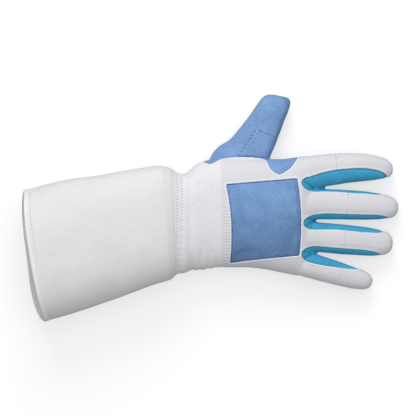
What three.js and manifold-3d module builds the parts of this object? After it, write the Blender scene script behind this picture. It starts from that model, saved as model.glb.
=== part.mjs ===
// A right-hand fencing glove, lying palm down.
// X runs from the cuff to the fingertips, Y from the little finger to the thumb, Z from the palm to the back.
// Every panel is cut from one hollow shell: a trunk, four fingers and a thumb, joined, less the room
// for the hand.
import * as THREE from "three";
import { mergeVertices } from "three/addons/utils/BufferGeometryUtils.js";
import Module from "manifold-3d";

const wasm = await Module();
wasm.setup();

// Driving sizes, in millimetres and degrees
const cuffLength = 143.5;
const cuffWidth = 125;
const cuffDepth = 80;
const cuffHeading = 12.2;
const mouthHeading = 9.2;
const mouthLean = 0.083;
const mouthBow = 6.2;
const handLength = 119;
const palmWidth = 104;
const handDepth = 47;
const fingerLength = 85;
const fingerWidth = 31;
const fingerDepth = 26;
const knuckleHeight = 25;
const tipHeight = 11.5;
const thumbLength = 81.7;
const thumbWidth = 31.5;
const thumbDepth = 25;
const thumbHeading = 64;
const thumbHeight = 14;
const thumbRootRise = 4;
const clothWall = 2.2;
const seamGap = 0.3;
const bindingWidth = 4.2;
const bindingRise = 0.8;
const wristBandWidth = 11.5;
const wristBandRise = 0.7;
const sleeveEnd = 36.6;
const sideSeamInset = 2.9;
const sideWallLeast = 2;
const thumbPatchWall = 1;

// Fingers. side: where the finger starts, as a share of half the palm; reach, width, depth: shares of the
// finger sizes; heading: degrees; bow: sideways bend, as a share of the reach; taper: how much narrower the
// tip is; knuckle: the seam across the back, as a share of the reach.
const fingers = {
  index: {
    side: 0.71, reach: 0.94, width: 1.08, depth: 1, heading: 3.4, bow: 0.036, taper: 0.3, knuckle: 0.34,
  },
  middle: {
    side: 0.146, reach: 1, width: 1, depth: 1, heading: -2.1, bow: 0.013, taper: 0.15, knuckle: 0.444,
  },
  ring: {
    side: -0.437, reach: 0.94, width: 0.97, depth: 0.96, heading: -5.3, bow: 0, taper: 0.08, knuckle: 0.436,
  },
  little: {
    side: -0.952, reach: 0.735, width: 0.82, depth: 0.83, heading: -16.4, bow: 0, taper: 0.25, knuckle: 0.52,
  },
};

// Cuff sections from the mouth to the wrist. along: share of the cuff's length; width: share of its width;
// top, bottom: shares of its depth; aside: share of the width that the middle lies off the straight axis;
// turn: share of the mouth's heading; lean: share of its lean and bow.
const cuffSections = [
  { along: 0, width: 1, top: 1, bottom: -0.02, aside: 0, turn: 1, lean: 1 },
  { along: 0.13, width: 1.002, top: 0.98, bottom: -0.022, aside: 0.01, turn: 1, lean: 0.8 },
  { along: 0.26, width: 0.993, top: 0.955, bottom: -0.022, aside: 0.019, turn: 1, lean: 0.5 },
  { along: 0.5, width: 0.939, top: 0.91, bottom: -0.02, aside: 0.025, turn: 1.05, lean: 0.2 },
  { along: 0.72, width: 0.894, top: 0.87, bottom: -0.01, aside: 0.037, turn: 0.85, lean: 0 },
  { along: 0.888, width: 0.867, top: 0.83, bottom: 0.005, aside: 0.036, turn: 0.49, lean: 0 },
  { along: 0.93, width: 0.818, top: 0.78, bottom: 0.03, aside: 0.032, turn: 0.3, lean: 0 },
  { along: 0.965, width: 0.764, top: 0.72, bottom: 0.05, aside: 0.016, turn: 0.12, lean: 0 },
];

// Hand sections from the wrist to the web. along: share of the hand's length; radial, ulnar: shares of half
// the palm's width on the thumb's side and on the little finger's side; top, bottom: shares of the hand's
// depth.
const handSections = [
  { along: 0, radial: 0.69, ulnar: 1.1, top: 1.17, bottom: 0.1 },
  { along: 0.04, radial: 0.735, ulnar: 1.075, top: 1.135, bottom: 0.085 },
  { along: 0.065, radial: 0.79, ulnar: 1.05, top: 1.105, bottom: 0.07 },
  { along: 0.11, radial: 0.875, ulnar: 1.052, top: 1.1, bottom: 0.05 },
  { along: 0.2, radial: 0.955, ulnar: 1.035, top: 1.06, bottom: 0 },
  { along: 0.24, radial: 0.975, ulnar: 1.01, top: 1.05, bottom: -0.015 },
  { along: 0.31, radial: 1, ulnar: 1, top: 1.035, bottom: -0.03 },
  { along: 0.5, radial: 1.01, ulnar: 1, top: 1.01, bottom: -0.045 },
  { along: 0.66, radial: 1.005, ulnar: 1.035, top: 0.99, bottom: -0.045 },
  { along: 0.81, radial: 1.01, ulnar: 1.1, top: 0.95, bottom: -0.02 },
  { along: 0.93, radial: 1.03, ulnar: 1.17, top: 0.88, bottom: 0.05 },
  { along: 1, radial: 1.02, ulnar: 1.16, top: 0.76, bottom: 0.16 },
  { along: 1.04, radial: 0.96, ulnar: 1.1, top: 0.6, bottom: 0.3 },
];

// Finger sections from inside the hand to the tip. along: share of the reach; full: share of the width
// and depth.
const fingerSections = [
  { along: -0.22, full: 0.86 },
  { along: 0.04, full: 1 },
  { along: 0.38, full: 1 },
  { along: 0.64, full: 0.98 },
  { along: 0.77, full: 0.94 },
  { along: 0.87, full: 0.85 },
  { along: 0.94, full: 0.7 },
  { along: 0.982, full: 0.48 },
  { along: 1, full: 0.22 },
];

// Thumb sections from inside the palm to the tip. along: share of the length; width, depth: shares of the
// thumb's; shift: share of the width that the middle lies towards the wrist; turn: degrees that the tip
// bends upright.
const thumbSections = [
  { along: -0.07, width: 1.62, depth: 1.15, shift: 0.145, turn: 0 },
  { along: 0.06, width: 1.61, depth: 1.2, shift: 0.143, turn: 0 },
  { along: 0.164, width: 1.54, depth: 1.22, shift: 0.106, turn: 0 },
  { along: 0.31, width: 1.3, depth: 1.16, shift: 0.009, turn: 0 },
  { along: 0.517, width: 1.11, depth: 1.04, shift: -0.036, turn: 0 },
  { along: 0.745, width: 0.935, depth: 0.96, shift: -0.06, turn: 2 },
  { along: 0.87, width: 0.862, depth: 0.88, shift: -0.069, turn: 6 },
  { along: 0.935, width: 0.784, depth: 0.78, shift: -0.075, turn: 10 },
  { along: 0.975, width: 0.64, depth: 0.58, shift: -0.08, turn: 14 },
  { along: 0.99, width: 0.4, depth: 0.3, shift: -0.08, turn: 16 },
];

// Where the white finger backs end. along: share of the finger's reach; the rest: share of half the finger's
// width, counted from its middle to that side, at which the white meets the stretch side wall.
const whiteEdges = {
  along: [-0.04, 0.02, 0.12, 0.3, 0.65, 0.8, 0.9, 1],
  indexUlnar: [0.23, 0.185, 0.13, 0.05, 0.04, 0.15, 0.38, 1.1],
  middleRadial: [0.94, 0.82, 0.8, 0.82, 0.81, 0.83, 1.05, 1.4],
  middleUlnar: [0.95, 0.73, 0.61, 0.6, 0.62, 0.62, 0.7, 1.2],
  ringRadial: [0.54, 0.47, 0.5, 0.6, 0.61, 0.67, 0.83, 1.3],
  ringUlnar: [0.87, 0.67, 0.58, 0.58, 0.57, 0.62, 0.8, 1.3],
  littleRadial: [0.2, 0.19, 0.215, 0.33, 0.7, 1, 1.25, 1.4],
};

// The rounded root of each side wall between two fingers: two places on the hand's back, as shares of its
// length and of half its width.
const webs = [
  { near: "index", next: "middle", start: [0.944, 0.566], turn: [0.947, 0.502] },
  { near: "middle", next: "ring", start: [0.96, -0.174], turn: [0.963, -0.241] },
  { near: "ring", next: "little", start: [0.944, -0.74], turn: [0.954, -0.831] },
];

// Seams on the hand's back, as shares of its length and of half its width
const thumbSeam = [
  [0.16, 0.84],
  [0.19, 0.88],
  [0.232, 0.871],
  [0.279, 0.932],
  [0.327, 0.983],
  [0.423, 1.005],
  [0.567, 0.987],
  [0.631, 0.959],
  [0.675, 0.932],
];
const gussetSeam = [
  [0.671, 0.932],
  [0.695, 0.804],
  [0.734, 0.722],
  [0.774, 0.694],
  [0.814, 0.74],
  [0.854, 0.804],
  [0.886, 0.895],
  [0.918, 1.01],
];
const patchCorners = [
  [0.343, 0.512],
  [0.91, 0.621],
  [0.926, -0.786],
  [0.375, -0.923],
];
// How far each side of the patch bows outwards, from the corner where it starts, as a share of the side
const patchBows = [0, 0.028, -0.006, -0.014];
// The doubled piece on the thumb: shares of the thumb's length, and of half its width there, wrist side
// positive
const thumbPatchCorners = [
  [0.1, 0.1],
  [0.21, 0.23],
  [0.572, 0.37],
  [0.575, -0.79],
  [0.44, -0.81],
  [0.3, -0.83],
  [0.15, -0.83],
];

const cuffSides = 24;
const fingerSides = 12;
const thumbSides = 14;
const fingerSquareness = 2.3;
const handSquareness = 2.7;
const far = 3 * (cuffLength + handLength);
const halfPalm = palmWidth / 2;
const rad = THREE.MathUtils.degToRad;
const { lerp, clamp, smoothstep } = THREE.MathUtils;

// Closed solids

function solidOf(geometry) {
  const bare = geometry.clone();
  bare.deleteAttribute("normal");
  bare.deleteAttribute("uv");
  const merged = mergeVertices(bare, 1e-4);
  const vertProperties = merged.attributes.position.array;
  const triVerts = new Uint32Array(merged.index.array);
  const made = new wasm.Manifold(new wasm.Mesh({ numProp: 3, vertProperties, triVerts }));
  if (made.volume() > 0) return made;
  for (let i = 0; i < triVerts.length; i += 3) {
    [triVerts[i + 1], triVerts[i + 2]] = [triVerts[i + 2], triVerts[i + 1]];
  }
  return new wasm.Manifold(new wasm.Mesh({ numProp: 3, vertProperties, triVerts }));
}

function geometryOf(solid) {
  const { vertProperties, triVerts } = solid.getMesh();
  const geometry = new THREE.BufferGeometry();
  geometry.setAttribute("position", new THREE.BufferAttribute(vertProperties, 3));
  geometry.setIndex(new THREE.BufferAttribute(triVerts, 1));
  const faceted = geometry.toNonIndexed();
  faceted.computeVertexNormals();
  return faceted;
}

function joined(solids) {
  return solids.reduce((a, b) => a.add(b));
}

// A closed tube through sections, each { centre, turn, half, rise }. turn is its heading in plan, in degrees;
// half and rise are its reaches from the centre; its corners are round. A mouth also has { lean, bow,
// depth }: its lower side lies further back along the tube, and its top and bottom bow outwards.
function tube(sections, sides, squareness) {
  const rings = sections.length - 1;
  const geometry = new THREE.CylinderGeometry(1, 1, 1, sides, rings);
  const place = geometry.attributes.position;
  const point = new THREE.Vector3();
  const bulge = (v) => Math.sign(v) * Math.abs(v) ** (2 / squareness);
  for (let i = 0; i < place.count; i++) {
    point.fromBufferAttribute(place, i);
    const section = sections[Math.round((0.5 - point.y) * rings)];
    const { lean = 0, bow = 0, depth = 1 } = section;
    const across = bulge(point.x) * section.half;
    const rise = bulge(point.z) * section.rise;
    const back = lean * rise - bow * (rise / depth) ** 2;
    const cos = Math.cos(rad(section.turn));
    const sin = Math.sin(rad(section.turn));
    place.setXYZ(
      i,
      section.centre.x - across * sin + back * cos,
      section.centre.y + across * cos + back * sin,
      section.centre.z + rise,
    );
  }
  return solidOf(geometry);
}

// An upright wall over an outline in plan, between two heights.
function prism(outline, low = -far, high = far) {
  const shape = new THREE.Shape(outline);
  const geometry = new THREE.ExtrudeGeometry(shape, { depth: high - low, bevelEnabled: false });
  geometry.translate(0, 0, low);
  return solidOf(geometry);
}

// The outline moved outwards by a distance, corner by corner.
function grown(outline, by) {
  const outwards = THREE.ShapeUtils.isClockWise(outline) ? -1 : 1;
  const count = outline.length;
  return outline.map((corner, i) => {
    const a = corner.clone().sub(outline[(i + count - 1) % count]).normalize();
    const b = outline[(i + 1) % count].clone().sub(corner).normalize();
    const side = new THREE.Vector2(a.y, -a.x);
    const normal = new THREE.Vector2(a.y + b.y, -a.x - b.x).normalize();
    return corner.clone().addScaledVector(normal, (by * outwards) / Math.max(0.6, normal.dot(side)));
  });
}

const plan = (x, y) => new THREE.Vector2(x, y);
const onHand = ([along, across]) => plan(along * handLength, across * halfPalm);
const slab = (from, to) => prism([plan(from, -far), plan(to, -far), plan(to, far), plan(from, far)]);
const wide = [plan(-far, -far), plan(far, -far), plan(far, far), plan(-far, far)];
const overFloor = (floor) => prism(wide, floor);

// Trunk: cuff and hand as one tube. inset is how far its surface lies inside the outer one.

const wristSide = ((handSections[0].radial - handSections[0].ulnar) * halfPalm) / 2;

function trunkSections(inset) {
  const cuff = cuffSections.map((row) => {
    const back = (row.along - 1) * cuffLength;
    const side = wristSide + back * Math.sin(rad(cuffHeading)) + row.aside * cuffWidth;
    const middle = ((row.top + row.bottom) * cuffDepth) / 2;
    const depth = ((row.top - row.bottom) * cuffDepth) / 2;
    return {
      centre: new THREE.Vector3(back * Math.cos(rad(cuffHeading)), side, middle),
      turn: row.turn * mouthHeading,
      half: (row.width * cuffWidth) / 2 - inset,
      rise: depth - inset,
      lean: row.lean * mouthLean,
      bow: row.lean * mouthBow,
      depth,
    };
  });
  const hand = handSections.map((row) => {
    const side = ((row.radial - row.ulnar) * halfPalm) / 2;
    return {
      centre: new THREE.Vector3(row.along * handLength, side, ((row.top + row.bottom) * handDepth) / 2),
      turn: 0,
      half: ((row.radial + row.ulnar) * halfPalm) / 2 - inset,
      rise: ((row.top - row.bottom) * handDepth) / 2 - inset,
    };
  });
  return [...cuff, ...hand];
}

// Fingers

function fingerHeight(x) {
  const share = clamp((x - handLength) / fingerLength, 0, 1);
  return tipHeight + (knuckleHeight - tipHeight) * (1 - share) ** 1.4;
}

function fingerHalf(finger, along) {
  return ((finger.width * fingerWidth) / 2) * (1 - finger.taper * clamp(along, 0, 1));
}

// A place in plan on a finger: along its reach, and across it as a share of half its width, thumb side
// positive.
function onFinger(finger, along, across = 0) {
  const reach = finger.reach * fingerLength;
  const bow = along > 0 ? 4 * finger.bow * reach * along * (1 - along) : 0;
  const out = plan(along * reach, bow + across * fingerHalf(finger, along));
  return out.rotateAround(plan(0, 0), rad(finger.heading)).add(plan(handLength, finger.side * halfPalm));
}

function fingerTube(finger, inset) {
  const sections = fingerSections.map((row) => {
    const along = row.along * (1 - inset / (finger.reach * fingerLength));
    const at = onFinger(finger, along);
    const taper = 1 - 0.8 * finger.taper * Math.max(0, along);
    const depth = ((finger.depth * fingerDepth) / 2) * row.full * taper;
    return {
      centre: new THREE.Vector3(at.x, at.y, fingerHeight(at.x)),
      turn: finger.heading,
      half: Math.max(0.6, fingerHalf(finger, along) * row.full - inset),
      rise: Math.max(0.6, depth - inset),
    };
  });
  return tube(sections, fingerSides, fingerSquareness);
}

// Thumb

const thumbRoot = onHand([0.439, 0.731]);

// A place in plan on the thumb: along its length and a distance across it, wrist side positive.
function onThumb(along, across = 0) {
  return plan(along * thumbLength, across).rotateAround(plan(0, 0), rad(thumbHeading)).add(thumbRoot);
}

function thumbTube(inset) {
  const sections = thumbSections.map((row) => {
    const along = row.along * (1 - inset / thumbLength);
    const at = onThumb(along, row.shift * thumbWidth);
    return {
      centre: new THREE.Vector3(at.x, at.y, thumbHeight + thumbRootRise * (1 - Math.max(0, along))),
      turn: thumbHeading + row.turn,
      half: Math.max(0.8, (row.width * thumbWidth) / 2 - inset),
      rise: Math.max(0.8, (row.depth * thumbDepth) / 2 - inset),
    };
  });
  return tube(sections, thumbSides, fingerSquareness);
}

// A place in plan on the thumb: along its length, and across it as a share of half its width there.
function acrossThumb([along, across]) {
  const next = Math.max(1, thumbSections.findIndex((row) => row.along >= along));
  const [a, b] = [thumbSections[next - 1], thumbSections[next]];
  const share = (along - a.along) / (b.along - a.along);
  const middle = lerp(a.shift, b.shift, share);
  const half = lerp(a.width, b.width, share) / 2;
  return onThumb(along, (middle + across * half) * thumbWidth);
}

// The whole glove as a filled form, inset from the outer surface and flat where it rests.
function form(inset, floor) {
  const limbs = Object.values(fingers).map((finger) => fingerTube(finger, inset));
  const trunk = tube(trunkSections(inset), cuffSides, handSquareness);
  return joined([trunk, thumbTube(inset), ...limbs]).intersect(overFloor(floor));
}

// The mouth's section, moved along the cuff by a distance
function mouthAt(distance, inset) {
  const mouth = trunkSections(inset)[0];
  const out = plan(distance, 0).rotateAround(plan(0, 0), rad(mouth.turn));
  return { ...mouth, centre: mouth.centre.clone().add(new THREE.Vector3(out.x, out.y, 0)) };
}

// The room for the hand runs out through the cuff's mouth.
const doorEnds = [mouthAt(-2 * bindingWidth, clothWall), mouthAt(0, clothWall)];
const doorway = tube(doorEnds, cuffSides, handSquareness);
const inside = form(clothWall, clothWall).add(doorway.intersect(overFloor(clothWall)));
const shell = form(0, 0).subtract(inside);

// The height at which the palm meets the back: low on the hand, just under the middle of the fingers
function splitHeight(x) {
  const onFingers = fingerHeight(x) - 0.14 * fingerDepth;
  return lerp(0.27 * handDepth, onFingers, smoothstep(x, 0.8 * handLength, handLength));
}

// The room above that height, raised a little for the seam's gap
function aboveSplit(raised) {
  const steps = [0.25, 0.8, 0.87, 0.93, 1, 1.2, 1.4, 1.6, 2];
  const low = steps.map((share) => plan(share * handLength, splitHeight(share * handLength) + raised));
  const [start, end] = [low[0].x, low[low.length - 1].x];
  const shape = new THREE.Shape([...low, plan(end, far), plan(start, far)]);
  const geometry = new THREE.ExtrudeGeometry(shape, { depth: 2 * far, bevelEnabled: false });
  geometry.rotateX(Math.PI / 2);
  geometry.translate(0, far, 0);
  return solidOf(geometry);
}

// Outlines in plan

const thumbOutline = [
  ...thumbSeam.map(onHand),
  onHand([0.705, 1.02]),
  onHand([1.1, 1.2]),
  plan(1.1 * handLength, far),
  plan(0.178 * handLength, far),
  onHand([0.178, 1.02]),
];
const gussetOutline = [...gussetSeam.map(onHand), onHand([0.925, 1.2]), onHand([0.66, 1.2])];

const patchOutline = patchCorners.flatMap((corner, i) => {
  const start = onHand(corner);
  const side = onHand(patchCorners[(i + 1) % patchCorners.length]).sub(start);
  const outwards = plan(-side.y, side.x).multiplyScalar(4 * patchBows[i]);
  return [0, 0.2, 0.5, 0.8].map((share) => {
    return start.clone().addScaledVector(side, share).addScaledVector(outwards, share * (1 - share));
  });
});

// Where two fingers come close, their white edges keep the least width of the side wall between them.
function webOutline({ near, next, start, turn }) {
  const edges = whiteEdges.along.map((along, i) => {
    const inner = onFinger(fingers[near], along, -whiteEdges[`${near}Ulnar`][i]);
    const outer = onFinger(fingers[next], along, whiteEdges[`${next}Radial`][i]);
    const short = Math.max(0, sideWallLeast - (inner.y - outer.y)) / 2;
    return { inner: inner.add(plan(0, short)), outer: outer.sub(plan(0, short)) };
  });
  const last = edges[edges.length - 1];
  const gapEnd = plan(handLength + 1.3 * fingerLength, (last.inner.y + last.outer.y) / 2);
  const inners = edges.map((row) => row.inner).toReversed();
  return [...inners, onHand(start), onHand(turn), ...edges.map((row) => row.outer), gapEnd];
}

// The finger's back past its knuckle seam
function tipOutline(finger) {
  const corners = [
    [finger.knuckle, 1.15],
    [finger.knuckle, -1.15],
    [1.1, -1.4],
    [1.1, 1.4],
  ];
  return corners.map(([along, across]) => onFinger(finger, along, across));
}

// The thumb's back ends a little inside its edge on the index finger's side.
const sideSeam = thumbSections.slice(2).map((row) => {
  const inwards = plan(0, sideSeamInset - (row.width * thumbWidth) / 2);
  inwards.rotateAround(plan(0, 0), rad(thumbHeading + row.turn));
  return onThumb(row.along, row.shift * thumbWidth).add(inwards);
});
const thumbBackOutline = [
  ...sideSeam,
  onThumb(1.2, 0),
  onThumb(1.2, 1.5 * thumbWidth),
  onThumb(-0.6, 1.5 * thumbWidth),
  onThumb(-0.6, -0.6 * thumbWidth),
];

// Panels, each less the gap that its neighbour's seam leaves

const glove = new THREE.Group();
const whiteCloth = { color: 0xe3e3e6, roughness: 0.85 };
const blueSuede = { color: 0x7a9ccb, roughness: 0.92 };
const stretchKnit = { color: 0x3d97ba, roughness: 0.8 };
const trim = { color: 0xeeeef0, roughness: 0.75 };

// Each panel is the largest body left by its cuts, without the crumbs in the seams.
function add(name, solid, { color, roughness }) {
  const pieces = solid.decompose().sort((a, b) => b.volume() - a.volume());
  const material = new THREE.MeshStandardMaterial({ name, color, roughness, metalness: 0 });
  const mesh = new THREE.Mesh(geometryOf(pieces[0]), material);
  mesh.name = name;
  glove.add(mesh);
}

// The room round the cuff's mouth, up to a distance from its edge
function mouthRoom(width) {
  const margin = -2 * bindingRise;
  return tube([mouthAt(-far / 10, margin), mouthAt(width, margin)], cuffSides, handSquareness);
}

const raised = (rise) => form(-rise, 0).subtract(inside);
const bandStart = -0.6 * wristBandWidth;
const bandEnd = bandStart + wristBandWidth;
const cuffRoom = slab(-far, bandStart - seamGap).subtract(mouthRoom(bindingWidth + seamGap));

add("rim_binding", raised(bindingRise).intersect(mouthRoom(bindingWidth)), trim);
add("cuff", shell.intersect(cuffRoom), whiteCloth);
add("wrist_band", raised(wristBandRise).intersect(slab(bandStart, bandEnd)), whiteCloth);

const thumbRoom = prism(thumbOutline).intersect(thumbTube(0));
const thumbCut = prism(grown(thumbOutline, seamGap)).intersect(thumbTube(-seamGap));
const handShell = shell.subtract(thumbCut);
add("wrist_sleeve", handShell.intersect(slab(bandEnd + seamGap, sleeveEnd)), whiteCloth);

const handRoom = slab(sleeveEnd + seamGap, far);
const backShell = handShell.intersect(handRoom).intersect(aboveSplit(seamGap / 2));
const webCuts = webs.map((web) => prism(grown(webOutline(web), seamGap)));
const gussetCut = prism(grown(gussetOutline, seamGap));
const patchCut = prism(grown(patchOutline, seamGap));
const tipNames = Object.keys(fingers);
const tipCuts = tipNames.map((name) => prism(grown(tipOutline(fingers[name]), seamGap)));
const white = backShell.subtract(joined(webCuts)).subtract(gussetCut);

add("back_panel", white.subtract(patchCut).subtract(joined(tipCuts)), whiteCloth);
add("back_patch", backShell.intersect(prism(patchOutline)), blueSuede);
for (const name of tipNames) {
  add(`${name}_tip_back`, white.intersect(prism(tipOutline(fingers[name]))), whiteCloth);
}
for (const web of webs) {
  add(`fourchette_${web.near}_${web.next}`, backShell.intersect(prism(webOutline(web))), stretchKnit);
}
add("web_gusset", backShell.intersect(prism(gussetOutline)), blueSuede);
add("palm", handShell.intersect(handRoom).subtract(aboveSplit(-seamGap / 2)), blueSuede);

const thumb = shell.intersect(thumbRoom);
const thumbSplit = thumbHeight - 1.5;
add("thumb_back", thumb.intersect(prism(thumbBackOutline, thumbSplit)), blueSuede);
add("thumb_palm", thumb.subtract(prism(grown(thumbBackOutline, seamGap), thumbSplit - seamGap)), blueSuede);

const offSeam = thumbOutline.map((corner) => corner.clone().add(plan(0, 2 * seamGap)));
const thumbPatchRoom = prism(thumbPatchCorners.map(acrossThumb), thumbHeight).intersect(prism(offSeam));
const thumbPatch = thumbTube(-seamGap - thumbPatchWall).subtract(form(-seamGap, 0));
add("thumb_patch", thumbPatch.intersect(thumbPatchRoom), blueSuede);

// The origin is the middle of the bounding box's underside.
const bounds = new THREE.Box3().setFromObject(glove);
const middle = bounds.getCenter(new THREE.Vector3());
glove.position.set(-middle.x, -middle.y, -bounds.min.z);

export default glove;
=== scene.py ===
import math

import bmesh
import bpy
import numpy as np
from mathutils import Matrix, Vector, kdtree, noise


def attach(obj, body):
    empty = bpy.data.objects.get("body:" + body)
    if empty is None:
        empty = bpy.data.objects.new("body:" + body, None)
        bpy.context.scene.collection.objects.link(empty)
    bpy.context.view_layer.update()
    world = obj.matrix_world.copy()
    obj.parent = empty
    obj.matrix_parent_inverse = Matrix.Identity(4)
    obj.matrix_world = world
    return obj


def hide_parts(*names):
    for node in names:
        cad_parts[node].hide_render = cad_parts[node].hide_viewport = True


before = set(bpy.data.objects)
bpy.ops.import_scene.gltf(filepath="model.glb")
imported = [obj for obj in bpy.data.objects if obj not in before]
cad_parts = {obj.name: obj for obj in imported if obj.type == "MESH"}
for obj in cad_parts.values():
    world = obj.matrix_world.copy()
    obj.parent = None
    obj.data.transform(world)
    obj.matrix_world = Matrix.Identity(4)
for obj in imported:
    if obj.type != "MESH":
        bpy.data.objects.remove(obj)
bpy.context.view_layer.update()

# %% [markdown]
# # A fencing glove
# The glove is a white cloth gauntlet with a suede palm and thumb, a suede patch on the back of the hand and
# stretch walls between the fingers. A maker cuts flat panels and sews them round a hand form. We do much
# the same: one smooth form is built from round sections, and each panel is cut out of its skin, given a
# thickness and rounded edges. All work is done in millimetres, from the wrist, and moved into place last.

# %% Sizes of the glove, in millimetres and degrees
CUFF_LENGTH, CUFF_WIDTH, CUFF_DEPTH = 143.5, 125.0, 80.0
CUFF_HEADING, MOUTH_HEADING, MOUTH_LEAN, MOUTH_BOW = 12.2, 9.2, 0.083, 6.2
HAND_LENGTH, PALM_WIDTH, HAND_DEPTH = 119.0, 104.0, 47.0
FINGER_LENGTH, FINGER_WIDTH, FINGER_DEPTH = 85.0, 31.0, 26.0
KNUCKLE_HEIGHT, TIP_HEIGHT = 25.0, 11.5
THUMB_LENGTH, THUMB_WIDTH, THUMB_DEPTH = 81.7, 31.5, 25.0
THUMB_HEADING, THUMB_HEIGHT, THUMB_ROOT_RISE = 64.0, 14.0, 4.0
BAND_START, BAND_END, SLEEVE_START, SLEEVE_END, HAND_START = -6.9, 4.6, 4.9, 36.6, 36.9
TO_ORIGIN = Vector((-24.758, -3.602, 0.0))
HALF_PALM = PALM_WIDTH / 2
TIP_ROOM = 1.2
FAR = 800.0
ABOVE = 200.0


def table(columns, rows):
    return {name: np.array([row[i] for row in rows], float) for i, name in enumerate(columns.split())}


FINGERS = {
    name: dict(zip("side reach width depth heading bow taper knuckle".split(), row))
    for name, row in {
        "index": (0.71, 0.94, 1.08, 1.0, 3.4, 0.036, 0.3, 0.34),
        "middle": (0.146, 1.0, 1.0, 1.0, -2.1, 0.013, 0.15, 0.444),
        "ring": (-0.437, 0.94, 0.97, 0.96, -5.3, 0.0, 0.08, 0.436),
        "little": (-0.952, 0.735, 0.82, 0.83, -16.4, 0.0, 0.25, 0.52),
    }.items()
}
CUFF = table("along width top bottom aside turn lean", [
    (0, 1, 1, -0.02, 0, 1, 1),
    (0.13, 1.002, 0.98, -0.022, 0.01, 1, 0.8),
    (0.26, 0.993, 0.955, -0.022, 0.019, 1, 0.5),
    (0.5, 0.939, 0.91, -0.02, 0.025, 1.05, 0.2),
    (0.72, 0.894, 0.87, -0.01, 0.037, 0.85, 0),
    (0.888, 0.867, 0.83, 0.005, 0.036, 0.49, 0),
    (0.93, 0.818, 0.78, 0.03, 0.032, 0.3, 0),
    (0.965, 0.764, 0.72, 0.05, 0.016, 0.12, 0),
])
HAND = table("along radial ulnar top bottom", [
    (0, 0.69, 1.1, 1.17, 0.1),
    (0.04, 0.735, 1.075, 1.135, 0.085),
    (0.065, 0.79, 1.05, 1.105, 0.07),
    (0.11, 0.875, 1.052, 1.1, 0.05),
    (0.2, 0.955, 1.035, 1.06, 0),
    (0.24, 0.975, 1.01, 1.05, -0.015),
    (0.31, 1, 1, 1.035, -0.03),
    (0.5, 1.0, 1, 1.01, -0.045),
    (0.66, 0.98, 1.035, 0.99, -0.045),
    (0.81, 0.98, 1.105, 0.95, -0.02),
    (0.93, 1.015, 1.15, 0.88, 0.07),
    (1, 1.02, 1.12, 0.76, 0.2),
    (1.04, 0.96, 1.04, 0.6, 0.32),
])
FINGER = table("along full", [
    (-0.22, 0.92), (-0.02, 0.95), (0.15, 0.965), (0.38, 1), (0.64, 0.98),
    (0.77, 0.94), (0.87, 0.85), (0.94, 0.7), (0.982, 0.48), (1, 0.22),
])
THUMB = table("along width depth shift turn", [
    (-0.07, 1.62, 1.15, 0.145, 0),
    (0.06, 1.61, 1.2, 0.143, 0),
    (0.164, 1.54, 1.22, 0.106, 0),
    (0.31, 1.32, 1.16, -0.01, 0),
    (0.517, 1.15, 1.04, -0.064, 0),
    (0.745, 0.98, 0.96, -0.094, 2),
    (0.87, 0.91, 0.88, -0.104, 6),
    (0.935, 0.83, 0.78, -0.11, 10),
    (0.975, 0.68, 0.58, -0.115, 14),
    (0.99, 0.44, 0.3, -0.115, 16),
])
print("sections:", len(CUFF["along"]), "on the cuff,", len(HAND["along"]), "on the hand")

# %% [markdown]
# ## Smooth skins through sections
# Cloth has no corners between sections, so each column of a table becomes a smooth curve that never swings
# past its own values. A skin is then a grid wrapped round those sections, its two long edges welded. A
# lathe or a loft through circles could not give the hand's flat underside and its lean.


# %% Curves through tables
def curve(xs, ys):
    xs, ys = np.asarray(xs, float), np.asarray(ys, float)
    step, rise = np.diff(xs), np.diff(ys)
    slope = rise / step
    tangent = np.concatenate(([slope[0]], np.zeros(len(xs) - 2), [slope[-1]]))
    for i in range(1, len(xs) - 1):
        if slope[i - 1] * slope[i] > 0:
            a, b = 2 * step[i] + step[i - 1], step[i] + 2 * step[i - 1]
            tangent[i] = (a + b) / (a / slope[i - 1] + b / slope[i])

    def at(x):
        x = np.clip(x, xs[0], xs[-1])
        i = np.clip(np.searchsorted(xs, x) - 1, 0, len(step) - 1)
        t = (x - xs[i]) / step[i]
        ends = (1 + 2 * t) * (1 - t) ** 2 * ys[i] + t * t * (3 - 2 * t) * ys[i + 1]
        return ends + step[i] * t * (1 - t) * ((1 - t) * tangent[i] - t * tangent[i + 1])

    return at


def turned(x, y, heading):
    c, s = np.cos(np.radians(heading)), np.sin(np.radians(heading))
    return x * c - y * s, x * s + y * c


def trunk_spine():
    back = (CUFF["along"] - 1) * CUFF_LENGTH
    side = (HAND["radial"] - HAND["ulnar"]) * HALF_PALM / 2
    spread = (HAND["radial"] + HAND["ulnar"]) * HALF_PALM / 2
    hand = HAND["along"] * HAND_LENGTH
    none = 0 * hand
    slope = math.radians(CUFF_HEADING)
    limbs = ((CUFF, CUFF_DEPTH), (HAND, HAND_DEPTH))
    rise = [(rows["top"] - rows["bottom"]) * deep / 2 for rows, deep in limbs]
    middle = [(rows["top"] + rows["bottom"]) * deep / 2 for rows, deep in limbs]
    columns = {
        "x": (back * math.cos(slope), hand),
        "y": (side[0] + back * math.sin(slope) + CUFF["aside"] * CUFF_WIDTH, side),
        "z": middle,
        "turn": (CUFF["turn"] * MOUTH_HEADING, none),
        "half": (CUFF["width"] * CUFF_WIDTH / 2, spread),
        "rise": rise,
        "lean": (CUFF["lean"] * MOUTH_LEAN, none),
        "bow": (CUFF["lean"] * MOUTH_BOW, none),
    }
    rows = np.concatenate((back, hand))
    path = np.linspace(rows[0], rows[-1], 400)
    return {"path": path, **{key: curve(rows, np.concatenate(pair))(path) for key, pair in columns.items()}}


def finger_height(x):
    share = np.clip((x - HAND_LENGTH) / FINGER_LENGTH, 0, 1)
    return TIP_HEIGHT + (KNUCKLE_HEIGHT - TIP_HEIGHT) * (1 - share) ** 1.4


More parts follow.
